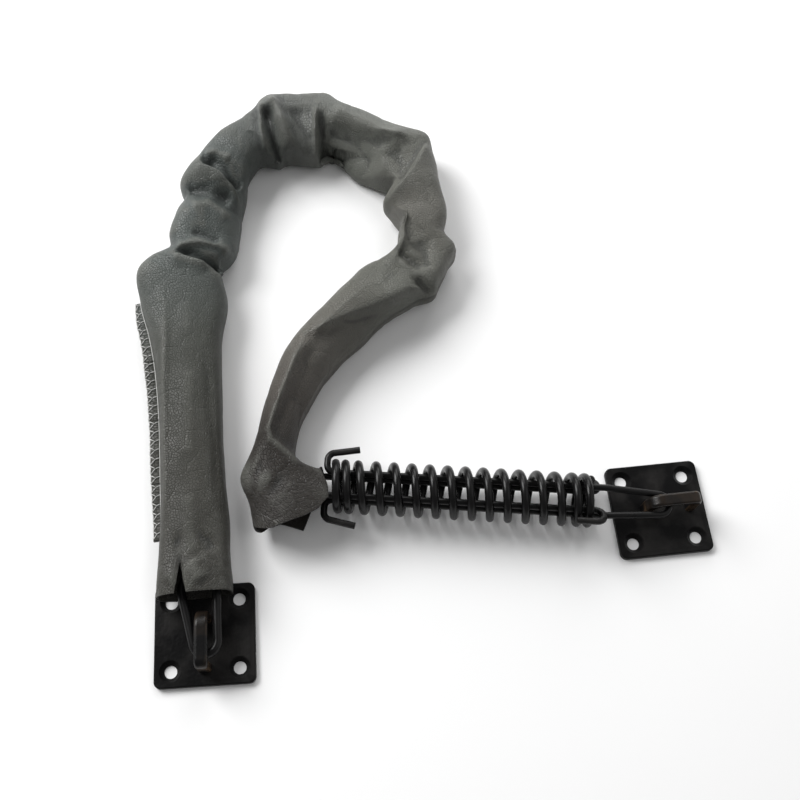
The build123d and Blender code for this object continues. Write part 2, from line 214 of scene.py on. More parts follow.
def blackCoat(name):
    pebble, grain, rubbedAndHighlight, rubbedAndHighlightShare, gloss = coat["finishes"][name]
    paint, nodes, links, shader = newPaint(name)
    place = addNode(nodes, "ShaderNodeTexCoord").outputs["Object"]
    pebbles = addNoise(nodes, links, place, coat["pebbleScale"] * grain, coat["pebbleDetail"])
    patches = addNoise(nodes, links, place, coat["patchScale"], coat["patchDetail"]).outputs["Fac"]
    low, high, share = coat["patchRange"]
    shade = mapRange(nodes, links, patches, low, high, 0, share)
    colour = mixColour(nodes, links, shade, coat["black"], coat["worn"])
    # sharp edges take the rubbed colour: edge wear, and on the eyes a painted gold-brown highlight
    edge = addNode(nodes, "ShaderNodeNewGeometry").outputs["Pointiness"]
    rubAndHighlight = mapRange(nodes, links, edge, *coat["wearAndHighlightEdge"], 0, rubbedAndHighlightShare)
    spread = mapRange(nodes, links, patches, *coat["wearAndHighlightPatches"], 0, 1)
    both = addNode(nodes, "ShaderNodeMath", operation="MULTIPLY")
    links.new(rubAndHighlight, both.inputs[0])
    links.new(spread, both.inputs[1])
    colour = mixColour(nodes, links, both.outputs[0], colour, rubbedAndHighlight)
    links.new(colour, shader.inputs["Base Color"])
    shader.inputs["Specular IOR Level"].default_value = coat["specular"] + gloss
    low, high = coat["shine"]
    rough = mapRange(nodes, links, patches, *coat["shineRange"], low - gloss, high - gloss)
    links.new(rough, shader.inputs["Roughness"])
    normal = addBump(nodes, links, pebbles.outputs["Fac"], coat["pebbleHeight"] * pebble)
    links.new(normal, shader.inputs["Normal"])
    return paint


vinyl = {
    "dark": (0.034, 0.037, 0.032),
    "light": (0.064, 0.068, 0.058),
    # dark lines of the grain, and painted shade in the valleys of the folds
    "crackAndValleyShade": (0.016, 0.018, 0.018),
    # lighter vinyl on the ridges: rubbed wear and a painted highlight
    "rubbedAndHighlight": (0.12, 0.122, 0.108),
    # tone along the sleeve: metres from the jamb end, colour; the last stops, falling to near black
    # at the spring end, are painted shade in the mouth
    "along": [(0.0, (0.046, 0.043, 0.036)), (0.06, (0.050, 0.048, 0.040)),
              (0.11, (0.058, 0.061, 0.052)), (0.15, (0.094, 0.108, 0.102)),
              (0.20, (0.080, 0.092, 0.087)), (0.24, (0.118, 0.124, 0.115)),
              (0.285, (0.160, 0.166, 0.146)), (0.33, (0.142, 0.137, 0.120)),
              (0.37, (0.134, 0.137, 0.118)), (0.415, (0.142, 0.132, 0.115)),
              (0.44, (0.090, 0.078, 0.068)), (0.46, (0.026, 0.020, 0.017)),
              (0.50, (0.012, 0.008, 0.006))],
    "alongShare": 0.8,
    "specular": 0.34,
    "shine": (0.40, 0.54),       # roughness in the darkest and lightest clouds
    "shineRange": (0.3, 0.7),
    "cloudScale": 60.0,
    "cloudDetail": 6,
    "cloudRoughness": 0.6,
    "cloudRange": (0.3, 0.72),
    "wobbleScale": 300.0,        # bends the lines of the grain a little
    "wobbleDetail": 2,
    "wobbleShare": 0.0016,
    "grainCell": 1.1,            # mm across one cell of the grain
    "grainHeight": 0.00019,
    "grainRim": 0.16,            # of a cell, from its edge to the full height
    "grainLine": (0.10, 0.5),    # width of the dark line round a cell, and its share
    "creaseCell": 7.0,           # the same for the wrinkles
    "creaseHeight": 0.00028,
    "creaseRim": 0.08,
    "creaseStrength": 0.35,
    "poreScale": 1800.0,
    "poreDetail": 3,
    "poreHeight": 0.00004,
    "poreStrength": 0.6,
    # tints by bend, above 0 on ridges: the rubbed colour with a painted highlight on ridges,
    # painted shade in valleys; where each starts and is full, its share, its colour
    "bends": [(0.25, 1.0, 0.5, "rubbedAndHighlight"), (-0.25, -1.2, 0.55, "crackAndValleyShade")],
}


def addCells(nodes, links, place, size):
    cells = addNode(nodes, "ShaderNodeTexVoronoi", {"Scale": 1000 / size},
                    feature="DISTANCE_TO_EDGE", voronoi_dimensions="2D")
    links.new(place, cells.inputs["Vector"])
    return cells.outputs["Distance"]


def vinylPaint():
    paint, nodes, links, shader = newPaint("greyVinyl")
    flat = addNode(nodes, "ShaderNodeUVMap", uv_map="clothMap").outputs["UV"]
    wobble = addNoise(nodes, links, flat, vinyl["wobbleScale"], vinyl["wobbleDetail"])
    shifted = addNode(nodes, "ShaderNodeMix", {"Factor": vinyl["wobbleShare"]}, data_type="VECTOR")
    links.new(flat, shifted.inputs["A"])
    links.new(wobble.outputs["Color"], shifted.inputs["B"])
    grain = addCells(nodes, links, shifted.outputs["Result"], vinyl["grainCell"])
    creases = addCells(nodes, links, shifted.outputs["Result"], vinyl["creaseCell"])
    clouds = addNoise(nodes, links, flat, vinyl["cloudScale"], vinyl["cloudDetail"],
                      vinyl["cloudRoughness"]).outputs["Fac"]
    pores = addNoise(nodes, links, flat, vinyl["poreScale"], vinyl["poreDetail"]).outputs["Fac"]
    tone = mapRange(nodes, links, clouds, *vinyl["cloudRange"], 0, 1)
    colour = mixColour(nodes, links, tone, vinyl["dark"], vinyl["light"])
    # the tone along the sleeve
    distance = addNode(nodes, "ShaderNodeSeparateXYZ")
    links.new(flat, distance.inputs[0])
    span = vinyl["along"][-1][0]
    ramp = addNode(nodes, "ShaderNodeValToRGB")
    stops = ramp.color_ramp.elements
    for index, (place, tint) in enumerate(vinyl["along"]):
        stop = stops[index] if index < 2 else stops.new(place / span)
        stop.position = place / span
        stop.color = (*tint, 1)
    links.new(mapRange(nodes, links, distance.outputs["Y"], 0, span, 0, 1), ramp.inputs["Fac"])
    toned = addNode(nodes, "ShaderNodeMix", {"Factor": vinyl["alongShare"]}, data_type="RGBA")
    links.new(colour, toned.inputs["A"])
    links.new(ramp.outputs["Color"], toned.inputs["B"])
    # darker round each cell of the grain, then by the bend of the surface: rubbed colour and
    # painted highlight on ridges, painted shade in valleys
    width, share = vinyl["grainLine"]
    lines = mapRange(nodes, links, grain, 0.0, width, share, 0)
    colour = mixColour(nodes, links, lines, toned.outputs["Result"], vinyl["crackAndValleyShade"])
    bend = addNode(nodes, "ShaderNodeAttribute", attribute_name="bend").outputs["Fac"]
    for low, high, share, tint in vinyl["bends"]:
        amount = mapRange(nodes, links, bend, low, high, 0, share)
        colour = mixColour(nodes, links, amount, colour, vinyl[tint])
    links.new(colour, shader.inputs["Base Color"])
    shader.inputs["Specular IOR Level"].default_value = vinyl["specular"]
    rough = mapRange(nodes, links, clouds, *vinyl["shineRange"], *vinyl["shine"])
    links.new(rough, shader.inputs["Roughness"])
    cells = mapRange(nodes, links, grain, 0.0, vinyl["grainRim"], 0, 1)
    normal = addBump(nodes, links, cells, vinyl["grainHeight"])
    normal = addBump(nodes, links, pores, vinyl["poreHeight"], vinyl["poreStrength"], normal)
    wrinkles = mapRange(nodes, links, creases, 0.0, vinyl["creaseRim"], 0, 1)
    normal = addBump(nodes, links, wrinkles, vinyl["creaseHeight"], vinyl["creaseStrength"], normal)
    links.new(normal, shader.inputs["Normal"])
    return paint


yarn = {
    "dark": (0.34, 0.34, 0.33),
    "light": (0.66, 0.66, 0.64),
    "roughness": 0.7,
    "twistScale": 2500.0,
    "twistDetail": 2,
    "twistRange": (0.3, 0.7),
    "twistHeight": 0.0001,
    "twistStrength": 0.7,
}


def threadPaint():
    paint, nodes, links, shader = newPaint("greyThread")
    place = addNode(nodes, "ShaderNodeTexCoord").outputs["Object"]
    twist = addNoise(nodes, links, place, yarn["twistScale"], yarn["twistDetail"]).outputs["Fac"]
    tone = mapRange(nodes, links, twist, *yarn["twistRange"], 0, 1)
    colour = mixColour(nodes, links, tone, yarn["dark"], yarn["light"])
    links.new(colour, shader.inputs["Base Color"])
    shader.inputs["Roughness"].default_value = yarn["roughness"]
    normal = addBump(nodes, links, twist, yarn["twistHeight"], yarn["twistStrength"])
    links.new(normal, shader.inputs["Normal"])
    return paint


# Meshes from arrays

# points in millimetres; normals, cloth (place on the flat cloth) and bend are one for each point
def meshPiece(name, points, faces, paint, normals=None, cloth=None, bend=None):
    mesh = bpy.data.meshes.new(name)
    mesh.from_pydata([tuple(point) for point in np.asarray(points) * mm], [], faces)
    mesh.polygons.foreach_set("use_smooth", [True] * len(mesh.polygons))
    mesh.materials.append(paint)
    if cloth is not None:
        layer = mesh.uv_layers.new(name="clothMap")
        corners = np.zeros(len(mesh.loops), int)
        mesh.loops.foreach_get("vertex_index", corners)
        layer.data.foreach_set("uv", np.asarray(cloth)[corners].astype(np.float32).ravel())
    if bend is not None:
        values = mesh.attributes.new("bend", "FLOAT", "POINT").data
        values.foreach_set("value", bend.astype(np.float32))
    mesh.update()
    if normals is not None:
        mesh.normals_split_custom_set_from_vertices([tuple(normal) for normal in normals])
    piece = bpy.data.objects.new(name, mesh)
    scene.collection.objects.link(piece)
    return piece


# a grid closed round its columns
def gridFaces(rows, columns, offset=0, flip=False):
    faces = []
    for row in range(rows - 1):
        for column in range(columns):
            near = offset + row * columns
            far = near + columns
            nextColumn = (column + 1) % columns
            face = (near + column, near + nextColumn, far + nextColumn, far + column)
            faces.append(face[::-1] if flip else face)
    return faces


# Spring: wound on its own axis, closer turns at both ends (mm)

spring = {
    "outer": 22.5,
    "wire": 3.4,
    "length": 110.3,
    "start": 24.7,           # from the drawbar's hinge, along the axis
    "middleTurns": 12,
    "endPitches": (3.9, 5.2),
    "stepsPerTurn": 40,
    "around": 20,            # points round the wire
    "capRings": [(0.0, 0.0), (0.55, 0.09), (0.85, 0.25), (1.0, 0.45)],    # radius share, depth
    "closedKeep": 0.592,     # length at full stroke over free length
}


def springAxis():
    end = np.array(joints["left_drawbar_hinge"]["pos_m"]) * 1000
    along = np.array(joints["spring_stroke"]["axis"], float)
    return end, along / np.linalg.norm(along)


# place along the wire in turns, and distance along the axis, easing from close to open turns
def springRises():
    ends = list(spring["endPitches"])
    openPitch = (spring["length"] - spring["wire"] - 2 * sum(ends)) / spring["middleTurns"]
    rises = np.cumsum([0] + ends + [openPitch] * spring["middleTurns"] + ends[::-1])
    total = len(rises) - 1
    samples = np.linspace(0, total, total * spring["stepsPerTurn"] + 1)
    raw = np.interp(samples, np.arange(total + 1), rises)
    window = np.hanning(spring["stepsPerTurn"] // 2)
    padded = np.pad(raw, len(window), mode="reflect", reflect_type="odd")
    eased = np.convolve(padded, window / window.sum(), mode="same")
    return samples, eased[len(window):-len(window)]


def addSpring(paint):
    origin, along = springAxis()
    up = np.array((0, 0, 1))
    across = np.cross(up, along)
    turns, rises = springRises()
    coilRadius, wireRadius = (spring["outer"] - spring["wire"]) / 2, spring["wire"] / 2
    rise = spring["start"] + wireRadius + rises
    angle = turns * 2 * math.pi
    outward = np.cos(angle)[:, None] * across + np.sin(angle)[:, None] * up
    centre = origin + rise[:, None] * along + coilRadius * outward
    tangent = np.gradient(centre, axis=0)
    tangent /= np.linalg.norm(tangent, axis=1)[:, None]
    side = np.cross(tangent, outward)
    side /= np.linalg.norm(side, axis=1)[:, None]
    outward = np.cross(side, tangent)
    points = []
    rings = np.linspace(0, 2 * math.pi, spring["around"], endpoint=False)
    rows = []
    for share, ahead in spring["capRings"]:
        rows.append((centre[0] + tangent[0] * ahead, outward[0], side[0], wireRadius * share))
    for index in range(1, len(centre) - 1):
        rows.append((centre[index], outward[index], side[index], wireRadius))
    for share, ahead in spring["capRings"][::-1]:
        rows.append((centre[-1] - tangent[-1] * ahead, outward[-1], side[-1], wireRadius * share))
    for place, out, aside, size in rows:
        for turn in rings:
            points.append(place + size * (math.cos(turn) * out + math.sin(turn) * aside))
    faces = gridFaces(len(rows), spring["around"], flip=True)
    coil = meshPiece("coil", points, faces, paint)
    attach(coil, "left_drawbar")
    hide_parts("spring")
    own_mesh(coil)
    print("spring wound:", int(turns[-1]), "turns")


# Sleeve: a sewn vinyl tube laid along the chain (mm where nothing else is said)

linkCount = 17

sleeve = {
    "wall": 1.0,
    "ringStep": 0.85,
    "around": 132,           # points round the tube
    "flatWidth": 0.090,      # metres, round the tube laid flat
    "bendShare": 0.4,        # of a link on each side of a joint that the vinyl bends over
    "bendHeight": 11.3,      # of the links' middle above the surface
    "lastReach": 26.0,       # along the spring's axis, the last bend on the drawbar
    "innerFloor": 0.45,      # lowest height of the inside
    "insideMap": (0.2, 0.0),     # metres, where the inside lies on the flat cloth
    "cornerPack": 0.09,      # draws the points of a ring towards its corners
    "underSquare": 1.2,      # how much squarer the underside is
    "upperShare": 0.75,      # of the half height, above which folds press fully
    # place along the chain in links, reach left and right of the chain, underside, top,
    # and how square the section is (2 is an ellipse)
    "stations": [
        (-0.13, 14.6, 15.4, 3.0, 19.4, 2.7),
        (0.10, 13.6, 15.2, 3.0, 19.8, 2.9),
        (0.40, 12.8, 15.0, 3.0, 19.6, 2.9),
        (0.80, 12.2, 14.9, 0.3, 19.4, 3.0),
        (1.60, 12.2, 13.8, 0.0, 19.6, 3.0),
        (2.50, 13.0, 13.0, 0.0, 19.4, 3.0),
        (3.40, 15.0, 13.2, 0.0, 19.6, 3.0),
        (4.00, 17.2, 14.0, 0.0, 19.8, 2.9),
        (4.50, 22.0, 16.0, 0.0, 20.4, 2.7),
        (4.90, 23.4, 13.6, 0.0, 22.0, 3.2),
        (5.10, 19.4, 12.0, 0.0, 21.6, 3.0),
        (5.32, 12.0, 15.4, 0.0, 20.4, 2.9),
        (5.60, 12.8, 17.4, 0.0, 22.6, 3.0),
        (5.95, 12.4, 16.6, 0.0, 23.4, 3.0),
        (6.25, 14.4, 15.0, 0.0, 21.0, 2.9),
        (6.60, 14.8, 14.2, 0.0, 23.6, 3.0),
        (7.05, 11.4, 12.4, 0.0, 22.4, 3.0),
        (7.40, 12.0, 10.4, 0.0, 24.0, 3.1),
        (7.80, 9.8, 12.6, 0.0, 23.4, 3.1),
        (8.10, 13.2, 16.8, 0.0, 21.6, 3.0),
        (8.35, 16.6, 14.8, 0.0, 24.2, 3.1),
        (8.65, 17.0, 16.4, 0.0, 23.0, 3.1),
        (9.00, 14.2, 18.0, 0.0, 22.0, 3.1),
        (9.30, 12.4, 12.4, 0.0, 23.4, 3.1),
        (9.70, 12.8, 13.4, 0.0, 22.6, 3.1),
        (10.15, 13.4, 15.2, 0.0, 23.0, 3.1),
        (10.50, 19.4, 12.0, 0.0, 24.0, 3.2),
        (10.85, 15.4, 10.4, 0.0, 22.6, 3.1),
        (11.20, 12.4, 14.6, 0.0, 23.0, 3.1),
        (11.60, 12.6, 12.8, 0.0, 21.6, 3.1),
        (12.00, 11.2, 12.6, 0.0, 22.2, 3.1),
        (12.35, 17.4, 7.6, 0.0, 21.2, 3.1),
        (12.65, 18.6, 6.4, 0.0, 22.8, 3.1),
        (13.05, 12.2, 13.4, 0.0, 22.6, 3.1),
        (13.50, 10.4, 13.2, 0.0, 23.8, 2.9),
        (14.20, 10.2, 12.2, 0.0, 23.4, 2.9),
        (15.00, 9.6, 11.0, 0.0, 23.0, 2.8),
        (15.60, 8.4, 10.0, 0.0, 22.6, 2.8),
        (16.15, 7.4, 8.8, 0.0, 21.6, 2.7),
        (16.60, 8.6, 9.6, 0.0, 20.8, 2.7),
    ],
    "springLink": 20.0,      # along the spring's axis, counted as one link
    # the end at the spring: along and across the spring's axis, heading, then as above
    "springEnd": [
        (1.0, 4.5, -78, 13.2, 13.2, 0.0, 20.8, 2.2),
        (5.6, -2.4, -62, 16.8, 15.2, 0.0, 21.4, 2.2),
        (7.2, -6.2, -49, 18.8, 17.8, 0.0, 21.4, 2.2),
    ],
    # facets that fall away from a crease: stations where each starts, is full, stops being
    # full and ends, the crease's place left of the chain, the fall at the edge, and its side
    # (1 is the right, -1 the left)
    "slopes": [
        (5.2, 5.7, 6.4, 7.0, -1.0, 6.0, 1),
        (7.9, 8.1, 8.5, 8.8, -3.0, 3.0, 1),
        (8.9, 9.3, 10.3, 10.9, 3.0, 14.0, 1),
        (13.4, 14.0, 16.2, 16.8, -2.5, 7.0, -1),
    ],
    "notch": (-7.4, 2.2, 13.0),      # x of its point, half width at the rim, depth
    "notchFade": 26.0,       # along the sleeve from the end
    # the upper ply's lip at the spring: across the mouth, how far it reaches beyond the rim
    "lip": [(-18.2, 4.0), (-12.0, 7.4), (-1.0, 12.6), (5.1, 14.2), (11.6, 13.2), (16.0, 8.2),
            (18.8, 0.8)],
    # the lower ply's torn flap, in the same way
    "flap": [(-9.0, 2.0), (-5.4, 7.6), (-2.7, 12.6), (5.6, 8.6), (12.0, 5.0), (17.0, 0.0)],
    "flapHeights": (4.0, 10.0),      # the lower ply is whole below the first, none above the second
    # half width and rise above the links' middle that stay clear over upright and flat links
    "clearance": [(7.2, 8.3), (9.4, 4.2)],
    "clearSoft": 1.2,        # above that rise, where the lift begins
    "lipFade": 24.0,         # back from the end, over which the lip is drawn out
    "lipSink": 1.2,          # how far a lip as long as lipReach sinks
    "lipReach": 11.0,
    "bendReaches": [(2, 0.16), (4, 0.45)],    # rings looked away, height of a full bend
    "bendFacing": 0.35,      # how far up a surface looks where its bend counts in full
}


def ease(share):
    return share * share * (3 - 2 * share)


# a smooth curve through given values
def smoothThrough(knots, values, wanted):
    knots = np.asarray(knots, float)
    values = np.asarray(values, float)
    gaps = np.diff(knots)
    slopes = np.diff(values, axis=0) / gaps.reshape(-1, *([1] * (values.ndim - 1)))
    tangents = np.empty_like(values)
    tangents[1:-1] = (slopes[:-1] + slopes[1:]) / 2
    tangents[0], tangents[-1] = slopes[0], slopes[-1]
    index = np.clip(np.searchsorted(knots, wanted) - 1, 0, len(knots) - 2)
    gap = gaps[index]
    t = (wanted - knots[index]) / gap
    shape = (-1,) + (1,) * (values.ndim - 1)
    t, gap = t.reshape(shape), gap.reshape(shape)
    a, b = values[index], values[index + 1]
    ta, tb = tangents[index] * gap, tangents[index + 1] * gap
    return ((2 * t**3 - 3 * t**2 + 1) * a + (t**3 - 2 * t**2 + t) * ta
            + (3 * t**2 - 2 * t**3) * b + (t**3 - t**2) * tb)


def chainPivots():
    names = ["link_%02d_hinge" % (index + 1) for index in range(linkCount)] + ["left_drawbar_hinge"]
    return np.array([joints[name]["pos_m"] for name in names])[:, :2] * 1000


# the chain's heading at a station
def headingAt(station, pivots):
    steps = np.diff(pivots, axis=0)
    own = np.unwrap(np.arctan2(steps[:, 1], steps[:, 0]))
    return np.interp(station, np.arange(len(own)) + 0.5, own)


# distance run, and at each station: centre, heading, reach left and right, underside, top,
# squareness and, last, the station itself
def sleeveRails():
    pivots = chainPivots()
    rows = []
    for station, left, right, low, high, square in sleeve["stations"]:
        index = int(min(max(math.floor(station), 0), len(pivots) - 2))
        centre = pivots[index] + (station - index) * (pivots[index + 1] - pivots[index])
        rows.append((*centre, headingAt(station, pivots), left, right, low, high, square, station))
    origin, along = springAxis()
    across = np.cross((0, 0, 1), along)
    for ahead, aside, heading, left, right, low, high, square in sleeve["springEnd"]:
        centre = origin + ahead * along + aside * across
        rows.append((*centre[:2], math.radians(heading), left, right, low, high, square,
                     linkCount + ahead / sleeve["springLink"]))
    rails = np.array(rows)
    steps = np.linalg.norm(np.diff(rails[:, :2], axis=0), axis=1)
    return np.concatenate([[0], np.cumsum(steps)]), rails


# folds pressed into the upper side: points on the floor plan in millimetres, height, reach
# to the left and right of the line, and how far the crest leans to its right
folds = {
    "slitPocket": ([(-8.5, 163.9), (-1.2, 161.3), (5.0, 159.0), (10.0, 156.0)], -7.5, 1.9, 1.5, 0),
    "slitUpperRim": ([(-11.0, 163.8), (-8.4, 167.7), (-0.4, 168.6), (7.7, 168.2), (14.0, 164.8)],
                     2.6, 2.6, 2.2, 1.0),
    "slitLowerRim": ([(-11.0, 163.3), (-9.2, 160.1), (-3.0, 157.8), (4.1, 156.0)],
                     2.4, 3.6, 1.8, -0.8),
    "puffValley": ([(-4.0, 173.4), (2.3, 171.6), (8.6, 168.9)], -2.2, 3.2, 1.6, 0),
    "puffRidge": ([(-4.0, 184.6), (3.2, 187.5), (9.6, 185.1), (14.1, 181.7)], 2.0, 5.0, 3.4, 0),
    "belowLip": ([(-8.8, 198.9), (5.0, 194.2), (14.2, 191.5)], -2.8, 3.2, 3.6, 0),
    "lip": ([(1.0, 214.2), (-0.2, 211.0), (-0.5, 208.6), (0.6, 205.7), (7.8, 202.5), (14.2, 195.8),
             (18.3, 187.4)], 3.2, 1.4, 3.8, -1.4),
    "lipPocket": ([(2.6, 211.8), (9.7, 206.0), (17.5, 197.8)], -6.0, 3.4, 2.2, 0),
    "lipFarRim": ([(1.3, 214.7), (6.5, 214.6), (14.0, 210.0)], 1.8, 3.4, 1.6, 0),
    "topCrest": ([(27.8, 246.0), (28.0, 238.0), (28.2, 227.9), (31.0, 214.0), (32.0, 206.3)],
                 3.0, 9.0, 1.0, 0.6),
    "topValley": ([(31.8, 240.5), (32.8, 230.5), (35.0, 219.9), (37.2, 210.6)], -6.2, 2.4, 3.0, 0),
    "brightRidge": ([(32.8, 247.0), (35.0, 238.4), (37.6, 230.4), (42.0, 220.6), (47.5, 210.1)],
                    3.4, 1.6, 3.0, 0),
    "midValley": ([(44.5, 240.0), (47.0, 228.0), (51.0, 214.0)], -2.0, 4.0, 4.0, 0),
    "narrowRidge": ([(53.6, 240.0), (53.2, 226.0), (53.4, 209.5)], 2.6, 2.4, 1.0, 0),
    "narrowValley": ([(56.2, 235.6), (56.2, 222.0), (56.9, 208.5)], -5.5, 1.3, 1.4, 0),
    "wideValley": ([(61.6, 227.0), (61.8, 219.0), (61.4, 209.6)], -8.5, 3.0, 5.2, 0),
    "bandRidge": ([(58.2, 236.0), (61.5, 232.4), (65.6, 231.0), (72.0, 228.0), (80.9, 223.3),
                   (90.3, 220.6), (97.9, 219.5)], 3.4, 5.5, 2.6, 1.2),
    "underBand": ([(63.0, 224.5), (72.0, 219.5), (82.0, 214.0)], -1.0, 2.0, 5.0, 0),
    "facetEdge": ([(84.6, 219.1), (83.4, 208.0), (82.0, 196.3)], 0.9, 2.4, 2.8, 0),
    "cornerFacet": ([(88.5, 216.0), (91.5, 205.0), (90.0, 195.0)], -1.8, 4.6, 4.0, 0),
    "lightFacetEdge": ([(106.1, 217.5), (103.5, 211.5), (98.6, 203.4), (91.1, 192.5),
                        (85.2, 187.7)], 2.6, 5.5, 1.5, 0.8),
    "curlRim": ([(83.2, 187.4), (80.6, 183.0), (81.4, 178.0), (84.6, 173.0)], 2.0, 2.2, 1.4, 0),
    "curlPocket": ([(84.2, 184.4), (84.0, 180.4), (85.4, 175.6)], -5.5, 1.3, 1.4, 0),
    "sideRidge": ([(88.3, 184.0), (90.8, 176.1), (90.2, 166.5), (86.8, 157.3)], 2.6, 1.6, 4.2, 0),
    "elbowDip": ([(96.0, 166.0), (99.5, 158.0), (98.5, 150.0)], -1.8, 4.0, 4.0, 0),
    "elbowCrease": ([(86.0, 158.6), (91.0, 155.6), (97.0, 150.0)], -2.4, 1.6, 1.6, 0),
    "cornerFold": ([(92.5, 141.6), (96.9, 139.8), (101.4, 134.4)], 2.6, 1.4, 2.0, 0),
    "cornerPocket": ([(93.5, 145.6), (98.3, 143.0), (103.5, 138.2)], -3.0, 1.7, 1.7, 0),
    "runCrease": ([(96.5, 140.1), (84.3, 135.2), (66.2, 129.3), (52.7, 122.4), (45.2, 120.7)],
                  2.8, 2.0, 7.0, 0),
    "runShade": ([(84.0, 130.4), (68.0, 122.4), (54.0, 113.4)], -1.2, 3.4, 4.0, 0),
    "runEdge": ([(45.2, 120.9), (40.3, 109.3), (34.3, 93.6), (29.5, 81.9), (28.2, 78.4),
                 (29.4, 73.7), (34.7, 69.3), (41.1, 66.0), (50.6, 60.9)], 1.8, 2.2, 3.4, 0),
    "runHollow": ([(48.6, 115.8), (44.4, 105.6), (39.0, 92.6), (34.6, 83.4)], -0.8, 2.6, 3.2, 0),
    "mouthFold": ([(21.5, 62.0), (27.0, 60.0), (33.0, 53.0)], -1.2, 5.0, 5.0, 0),
    "straightRidge": ([(-15.0, 140.0), (-15.3, 121.0), (-15.4, 99.9), (-14.4, 64.6), (-14.0, 40.0)],
                      0.9, 2.0, 3.6, 0),
    "straightShade": ([(2.4, 116.0), (4.0, 89.2), (6.1, 72.6), (7.0, 50.0)], -1.0, 3.4, 2.6, 0),
    "linkBulge": ([(-9.9, 30.2), (-7.1, 34.6), (-1.9, 36.2), (3.3, 33.7), (5.8, 28.3)],
                  -1.2, 2.4, 4.0, 0),
    "linkSwell": ([(-4.0, 27.0), (-1.5, 22.0), (0.5, 17.0)], 1.2, 5.0, 5.0, 0),
}

pressing = {
    "gain": 1.35,        # on every height above
    "power": 1.35,       # of the fall beside the line: 2 is a bell, 1 a tent
    "fade": 0.18,        # of the line, over which a fold fades at each end
    "endShare": 0.25,    # what is left at its very end
}

# pulls on the outline: place, shift in x and y, and how far around it they act
pulls = [
    ((-10.0, 195.6), (3.2, 0.4), 4.5),
    ((-11.6, 207.0), (-2.2, 0.6), 5.0),
    ((-2.0, 222.0), (-1.6, 1.0), 6.0),
    ((24.1, 220.6), (-1.5, 4.0), 4.0),
    ((30.1, 214.0), (0.0, -3.2), 3.4),
    ((54.5, 212.5), (0.5, -3.0), 5.0),
    ((61.4, 217.9), (0.0, 3.4), 4.0),
    ((26.1, 250.7), (-2.0, 1.4), 6.0),
    ((57.2, 251.4), (2.0, 1.4), 6.0),
    ((105.4, 224.2), (2.0, 1.2), 6.0),
    ((84.6, 197.0), (3.0, 3.0), 4.0),
    ((81.8, 188.0), (-3.0, 0.0), 4.0),
    ((88.1, 178.0), (2.5, 0.0), 4.0),
    ((107.9, 173.0), (-2.4, 0.0), 5.0),
    ((110.4, 163.4), (3.4, 0.6), 4.6),
    ((102.1, 141.6), (2.6, -2.6), 4.5),
    ((85.2, 161.0), (1.6, 2.4), 4.0),
    ((17.0, 61.5), (-1.0, 0.2), 4.0),
]


def pullOutline(points):
    for place, shift, reach in pulls:
        distance = np.linalg.norm(points[:, :2] - place, axis=1)
        weight = np.exp(-(distance / reach) ** 2)
        points[:, :2] += weight[:, None] * np.array(shift)
    return points


# distance to a line on the floor plan, positive on its left, and the share along it
def alongLine(points, line):
    line = np.asarray(line, float)
    lengths = np.linalg.norm(np.diff(line, axis=0), axis=1)
    run = np.concatenate([[0], np.cumsum(lengths)])
    best = np.full(len(points), 1e9)
    side = np.zeros(len(points))
    share = np.zeros(len(points))
    for index, length in enumerate(lengths):
        a, b = line[index], line[index + 1]
        way = (b - a) / length
        offset = points - a
        t = np.clip(offset @ way, 0, length)
        gap = offset - t[:, None] * way
        distance = np.linalg.norm(gap, axis=1)
        closer = distance < best
        best[closer] = distance[closer]
        side[closer] = np.sign(way[0] * offset[closer, 1] - way[1] * offset[closer, 0])
        share[closer] = (run[index] + t[closer]) / run[-1]
    return best * side, share


# raises ridges, sinks pockets and leans the crests of lips
def pressFolds(points, upper):
    plan = points[:, :2].copy()
    rest = pressing["endShare"]
    for line, height, reachLeft, reachRight, lean in folds.values():
        across, share = alongLine(plan, line)
        reach = np.where(across > 0, reachLeft, reachRight)
        profile = np.exp(-(np.abs(across) / reach) ** pressing["power"])
        fade = ease(np.clip(np.minimum(share, 1 - share) / pressing["fade"], 0, 1))
        weight = profile * (rest + (1 - rest) * fade) * upper
        points[:, 2] += height * pressing["gain"] * weight
        if lean:
            start, end = np.array(line[0]), np.array(line[-1])
            way = (end - start) / np.linalg.norm(end - start)
            points[:, 0] += lean * way[1] * weight
            points[:, 1] -= lean * way[0] * weight
    return points


